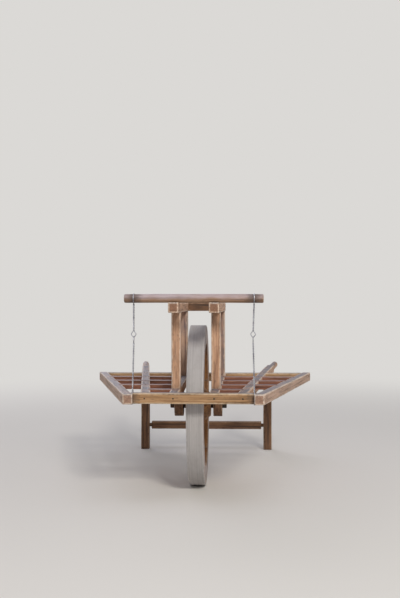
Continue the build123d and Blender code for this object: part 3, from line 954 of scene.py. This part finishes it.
# Top pole: a round peeled stick laid across the upper rails in shallow saddles.
# Handled smooth: pale pinkish grey on top and brown underneath, partly wear of hands and partly painted top
# light and painted shade; dark where the wire goes round it.
# share of pale grey on the pole's sides, partly hand wear and partly painted top light
HANDLED_AND_LIT_SIDES = 0.75


def handled_and_top_lit(local, outward):
    """Hands and dust, and a painted top light, pale the pole's top and front; the brown underside is partly
    painted shade.
    """
    return min(1.0, max(0.0, HANDLED_AND_LIT_SIDES * (1 + outward.z)))


# peeled stick: close-grained and smooth, brown where hands don't reach and where shade is painted underneath
peeled = sawn_wood(
    "peeled_stick",
    {"deep": "#6b4f37", "mid": "#92725a", "light": "#ad8f77", "worn": "#c8b6a3", "stain": "#453a36",
     "grey": "#b6a7ac", "end": "#a98467"},
    {"stain": 0.3, "ends": 0.3, "grey": 0.9, "worn": 0.7, "pore": 0.85},
)
low, high = box_mm("top_pole")
pole_half = (high.z - low.z) / 2
pole_middle = (low + high) / 2
laid = crosswise(low.x, high.x, pole_middle)
keys = one_section(laid, pole_half, pole_half, 1.0)
pole = timber("top_pole_stick", laid, keys, flat_points=5, end_round=0.7, weather_and_light=handled_and_top_lit)
fit(pole, peeled, "frame", "pole_wood", "top_pole")

# Nails: small round heads of blackened iron where bars, rails, posts and slats are nailed together.
# Driven flush by hand, so each head sits a little differently.
FORWARD = (0.0, -1.0, 0.0)
NAIL_HEAD = 1.1
NAIL_FLATNESS = 0.35
SMALLEST_HEAD = (0.85, 0.85, 0.7)
LARGEST_HEAD = (1.1, 1.1, 1.2)
NAIL_SEED = 3
LAP_NAIL_STEPS = (-1.1, 1.1)
FRONT_BAR_NAIL_IN = 2.6
REAR_BAR_NAIL_IN = 3.2
BAR_NAIL_RISE = 0.6
SLAT_NAIL_IN = 0.75
HANGER_NAIL_STEPS = (-3.0, 3.0)
HANGER_NAIL_DROP = 0.5
TIE_NAIL_DROP = 3.0


def centre_x(node, y):
    """Middle of a rail or shaft across the barrow, at a place along it."""
    begin, finish, spread = bar_line(node, half_bar, half_bar)
    return begin.x + spread * (y - begin.y)


tree, given, made = geometry_tree("nail_heads", {"Float": ("Head",), "Int": ("Seed",)})
drive = add_node(tree, "GeometryNodeInputNamedAttribute", {"Name": "drive"}, data_type="FLOAT_VECTOR")
turned = add_node(tree, "FunctionNodeAlignRotationToVector", {"Vector": drive[0]}, axis="Z")[0]
scatter = {"Min": SMALLEST_HEAD, "Max": LARGEST_HEAD, "Seed": given["Seed"]}
size = add_node(tree, "FunctionNodeRandomValue", scatter, data_type="FLOAT_VECTOR")[0]
scaled = {0: size, "Scale": given["Head"]}
size = add_node(tree, "ShaderNodeVectorMath", scaled, operation="SCALE")[0]
head = add_node(tree, "GeometryNodeMeshUVSphere", {"Segments": 12, "Rings": 8, "Radius": 0.5})[0]
flattened = {"Geometry": head, "Scale": (1.0, 1.0, NAIL_FLATNESS)}
head = add_node(tree, "GeometryNodeTransform", flattened)[0]
head = add_node(tree, "GeometryNodeSetShadeSmooth", {"Geometry": head})[0]
driven = {"Points": given["Geometry"], "Instance": head, "Rotation": turned, "Scale": size}
heads = add_node(tree, "GeometryNodeInstanceOnPoints", driven)[0]
end_tree(tree, given, made, heads)

front_low, front_high = box_mm("front_cross_bar")
rear_low, rear_high = box_mm("rear_cross_bar")
deck_top = front_high.z
deck_middle = (front_low.z + front_high.z) / 2
guard_side, _, guard_top = box_mm("upper_rail_right")[1]
nails = []
for side, sign in zip(SIDES, (-1, 1)):
    outward = (sign, 0.0, 0.0)
    inner, outer, shaft = f"inner_rail_{side}", f"outer_rail_{side}", f"shaft_{side}"
    # through the cross bars into rails and shafts
    for node in (inner, shaft):
        nails.append(((centre_x(node, front_high.y), front_low.y, deck_middle), FORWARD))
    nails.append(((centre_x(inner, rear_low.y), rear_high.y, deck_middle), BACK))
    for step in LAP_NAIL_STEPS:
        lap_y = (rear_low.y + rear_high.y) / 2 + step
        nails.append(((centre_x(shaft, lap_y) + sign * step, lap_y, deck_top + LAP_STEP), UP))
    # through the outer rails into the ends of the cross bars
    for bar_y in (front_low.y + FRONT_BAR_NAIL_IN, rear_low.y + REAR_BAR_NAIL_IN):
        flat = centre_x(outer, bar_y) + sign * half_bar * math.hypot(1, splay)
        nails.append(((flat, bar_y, deck_middle + BAR_NAIL_RISE), (sign, -splay, 0.0)))
    # slats into the shafts, and the hangers' tenons
    for number in slat_numbers:
        low, high = box_mm(f"slat_{number}_{side}")
        slat_y = (low.y + high.y) / 2
        slat_end = max(abs(low.x), abs(high.x))
        nail_x = min(abs(centre_x(shaft, slat_y)), slat_end - SLAT_NAIL_IN)
        nails.append(((sign * nail_x, slat_y, deck_top + SLAT_PROUD), UP))
    for step in HANGER_NAIL_STEPS:
        hanger_y = wheel_middle.y + step
        rail_side = centre_x(inner, hanger_y) + sign * half_bar
        nails.append(((rail_side, hanger_y, deck_middle - HANGER_NAIL_DROP), outward))
    # upper rails onto the posts, and into the tie bar
    for part in ("front_post", "rear_post"):
        low, high = box_mm(f"{part}_{side}")
        nails.append((((low.x + high.x) / 2, (low.y + high.y) / 2, guard_top), UP))
    nails.append(((sign * guard_side, (low.y + high.y) / 2, guard_top - TIE_NAIL_DROP), outward))
nail_places, nail_drives = zip(*nails)
sizes = {"Head": NAIL_HEAD * MM, "Seed": NAIL_SEED, "Material": iron}
nail_heads = grow("nail_heads", tree, sizes, nail_places, vectors={"drive": nail_drives})
fit(nail_heads, iron, "frame", "axle_steel")

# Stays: two wires on each side, hooked eye to eye, from a ring round the pole to a loop round the front bar.
# Each is two strands of galvanised wire twisted together; they part to make the ring, the eyes and the loop.
STRAND = 0.55
LAY = 3.2
POINTS_PER_TURN = 14
RING_STEPS = 14
RING_NECK = 0.1
EYE_HEIGHT = 4.1
EYE_HALF_WIDTH = 1.45
HOOK_HEIGHT = 3.7
HOOK_HALF_WIDTH = 1.305
LOOP_NECK = 0.25
LOOP_SHOULDER = 1.2
LOOP_BEND = 0.3
# in strands: half the parting of the twisted strands, wire's middle to the wood, and eye to hook
TWISTED_PARTING = 0.52
STAND_OFF = 0.55
HOOKED_STEP = 1.1
EYE_SHAPE = (
    # share of the height, share of the half width
    (0.0, 0.0), (0.10, 0.30), (0.40, 0.94), (0.5, 1.0), (0.60, 0.94), (0.90, 0.30), (1.0, 0.0),
)
STAY_SWAY = {
    # how far the hand-bent wire strays sideways at its eye and at its foot
    "left": (0.0, -0.7),
    "right": (-0.6, 0.2),
}
ZINC_CLOUD = 3.0
ZINC_SCUFF = 0.35

# galvanised wire: cool silver zinc, clouded dull grey in places, with scuffs that catch the light
galvanised = bpy.data.materials.new("galvanised_wire")
tree = empty_tree(galvanised)
where = add_node(tree, "ShaderNodeTexCoord")["Object"]
clouds = {"Vector": where, "Scale": 1 / (ZINC_CLOUD * MM), "Detail": 3.0}
cloud = add_node(tree, "ShaderNodeTexNoise", clouds)[0]
scuffs = {"Vector": where, "Scale": 1 / (ZINC_SCUFF * MM), "Detail": 2.0}
scuff = add_node(tree, "ShaderNodeTexNoise", scuffs)[0]
greyed = {"Value": cloud, "From Min": 0.42, "From Max": 0.68}
clouded = add_node(tree, "ShaderNodeMapRange", greyed)[0]
tints = {0: clouded, 6: linear("#b9bac2"), 7: linear("#7f8088")}
tint = add_node(tree, "ShaderNodeMix", tints, data_type="RGBA")[2]
dullness = {"Value": cloud, "From Min": 0.3, "From Max": 0.7, "To Min": 0.28, "To Max": 0.52}
dull = add_node(tree, "ShaderNodeMapRange", dullness)[0]
scratched = {"Height": scuff, "Strength": 0.25, "Distance": 0.05 * MM}
relief = add_node(tree, "ShaderNodeBump", scratched)[0]
surface = {"Base Color": tint, "Roughness": dull, "Normal": relief, "Metallic": 1.0}
shader = add_node(tree, "ShaderNodeBsdfPrincipled", surface)
add_node(tree, "ShaderNodeOutputMaterial", {"Surface": shader[0]})

tree, given, made = geometry_tree("twisted_wire", {"Float": ("Strand",)})
parting = add_node(tree, "GeometryNodeInputNamedAttribute", {"Name": "parting"}, data_type="FLOAT_VECTOR")
opening, way, cuts = add_node(tree, "ShaderNodeSeparateXYZ", {0: parting[0]})
line = add_node(tree, "GeometryNodeMeshToCurve", {"Mesh": given["Geometry"]})[0]
line = add_node(tree, "GeometryNodeSubdivideCurve", {"Curve": line, "Cuts": cuts})[0]
cosine = add_node(tree, "ShaderNodeMath", {0: way}, operation="COSINE")[0]
sine = add_node(tree, "ShaderNodeMath", {0: way}, operation="SINE")[0]
towards = add_node(tree, "ShaderNodeCombineXYZ", {0: cosine, 1: sine})[0]
round_wire = add_node(tree, "GeometryNodeCurvePrimitiveCircle", {"Resolution": 8})[0]
thickness = add_node(tree, "ShaderNodeMath", {0: given["Strand"], 1: 0.5}, operation="MULTIPLY")[0]
strands = tree.nodes.new("GeometryNodeJoinGeometry")
for sign in (-1.0, 1.0):
    signed = add_node(tree, "ShaderNodeMath", {0: opening, 1: sign}, operation="MULTIPLY")[0]
    parted = {0: towards, "Scale": signed}
    offset = add_node(tree, "ShaderNodeVectorMath", parted, operation="SCALE")[0]
    strand = add_node(tree, "GeometryNodeSetPosition", {"Geometry": line, "Offset": offset})[0]
    drawn = {"Curve": strand, "Profile Curve": round_wire, "Scale": thickness, "Fill Caps": True}
    tube = add_node(tree, "GeometryNodeCurveToMesh", drawn)[0]
    tree.links.new(tube, strands.inputs[0])
wire = add_node(tree, "GeometryNodeSetShadeSmooth", {"Geometry": strands.outputs[0]})[0]
end_tree(tree, given, made, wire)

closed = TWISTED_PARTING * STRAND
clear = STAND_OFF * STRAND
ring_reach = pole_half + clear
ring_foot = pole_middle.z - ring_reach
bar_half = (front_high.y - front_low.y) / 2
quarter = math.pi / 2
loop = (
    # height, opening
    (front_high.z + clear + LOOP_NECK, closed),
    (front_high.z + clear, LOOP_SHOULDER),
    (front_high.z + clear, bar_half - LOOP_BEND),
    (front_high.z - LOOP_BEND, bar_half + clear),
    (front_low.z + LOOP_BEND, bar_half + clear),
    (front_low.z - clear, bar_half - LOOP_BEND),
    (front_low.z - clear, 0.0),
)


def twist_from(way, height, other_height, offset):
    """Way of the strands after whole turns of the lay between two heights, plus an offset."""
    turns = round(abs(height - other_height) / LAY)
    return way + 2 * math.pi * turns + offset


def eye_rows(head, tall, half_wide, sway, way):
    """Rows of an eye, from its head down: height, sideways, opening of the strands, way they part."""
    return [(head - tall * share, sway, max(closed, half_wide * wide), way) for share, wide in EYE_SHAPE]


for side, (eye_sway, foot_sway) in STAY_SWAY.items():
    low, high = box_mm(f"stay_upper_{side}")
    wire_x = (low.x + high.x) / 2
    eye_foot = low.z + STRAND / 2
    eye_head = eye_foot + EYE_HEIGHT
    upper = []
    for step in range(RING_STEPS):
        turn = math.pi * step / RING_STEPS
        height = pole_middle.z + ring_reach * math.cos(turn)
        upper.append((height, 0.0, max(closed, ring_reach * math.sin(turn)), quarter))
    upper[0] = (pole_middle.z + ring_reach, 0.0, 0.0, quarter)
    upper.append((ring_foot - RING_NECK, 0.0, closed, quarter))
    eye_way = twist_from(quarter, ring_foot, eye_head, quarter)
    upper += eye_rows(eye_head, EYE_HEIGHT, EYE_HALF_WIDTH, eye_sway, eye_way)
    upper[-1] = (eye_foot, eye_sway, 0.0, eye_way)

    hook_head = eye_foot + HOOKED_STEP * STRAND
    lower = eye_rows(hook_head, HOOK_HEIGHT, HOOK_HALF_WIDTH, eye_sway, quarter)
    lower[0] = (hook_head, eye_sway, 0.0, quarter)
    loop_way = twist_from(quarter, hook_head - HOOK_HEIGHT, front_high.z, 0.0)
    lower += [(height, foot_sway, opening, loop_way) for height, opening in loop]

    for node, rows in ((f"stay_upper_{side}", upper), (f"stay_lower_{side}", lower)):
        points = [(wire_x + sway, pole_middle.y, height) for height, sway, opening, way in rows]
        lines = [(first, first + 1) for first in range(len(points) - 1)]
        partings = []
        for (_, _, opening, way), (_, _, _, next_way) in zip(rows, rows[1:] + rows[-1:]):
            cuts = POINTS_PER_TURN * (next_way - way) / (2 * math.pi)
            partings.append((opening * MM, way, cuts))
        sizes = {"Strand": STRAND * MM, "Material": galvanised}
        wire = grow(f"{node}_wire", tree, sizes, points, lines, {"parting": partings})
        fit(wire, galvanised, "frame", "stay_wire", node)
